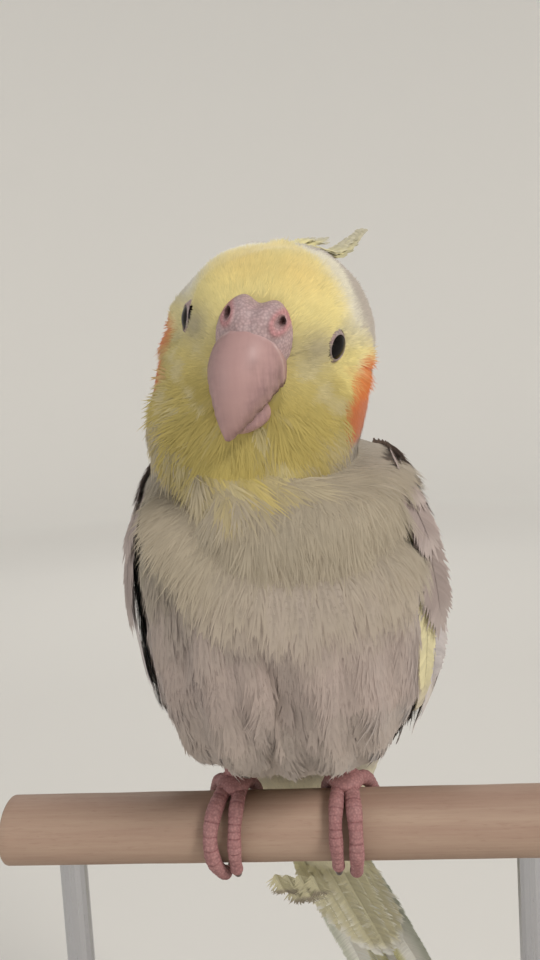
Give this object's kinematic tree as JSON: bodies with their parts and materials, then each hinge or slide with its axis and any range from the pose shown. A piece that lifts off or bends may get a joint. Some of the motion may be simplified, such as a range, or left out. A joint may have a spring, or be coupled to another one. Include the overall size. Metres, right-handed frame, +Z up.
{
  "type": "cockatiel model on a display stand",
  "caption": "Life-size cockatiel perched upright on a cut dowel, with folded wings, a laid-back crest and a long pointed tail, held over a flat base by slim rods.",
  "frame": {"origin": "middle of the base's underside", "axes": "+Z up, the bird faces -Y, the dowel runs along X with the bird's left side at +X"},
  "size_m": [0.124, 0.1467, 0.2864],
  "materials": {
    "face_feather": "soft yellow head feathers",
    "neck_feather": "soft olive-grey collar feathers",
    "body_feather": "soft fawn-grey body feathers",
    "wing_feather": "pale wing feathers with dark flight feathers",
    "tail_feather": "pale cream-yellow tail feathers",
    "eye": "glossy, near black",
    "cere": "granular bare skin, pink-grey",
    "bill": "satin horn, pink-mauve",
    "foot_skin": "fine scaled pink skin",
    "claw": "satin dark horn",
    "dowel": "bare sanded wood",
    "base": "satin dark wood",
    "rod": "brushed"
  },
  "bodies": {
    "root": {"head": "face_feather", "neck": "neck_feather", "torso": "body_feather", "wing_left": "wing_feather", "wing_right": "wing_feather", "tail": "tail_feather", "eye_left": "eye", "eye_right": "eye", "cere": "cere", "bill_upper": "bill", "bill_lower": "bill", "leg_left": "foot_skin", "leg_right": "foot_skin", "claw_left_inner_front": "claw", "claw_left_outer_front": "claw", "claw_left_inner_back": "claw", "claw_left_outer_back": "claw", "claw_right_inner_front": "claw", "claw_right_outer_front": "claw", "claw_right_inner_back": "claw", "claw_right_outer_back": "claw", "perch": "dowel", "stand_base": "base", "stand_rod_left": "rod", "stand_rod_right": "rod"}
  },
  "joints": []
}
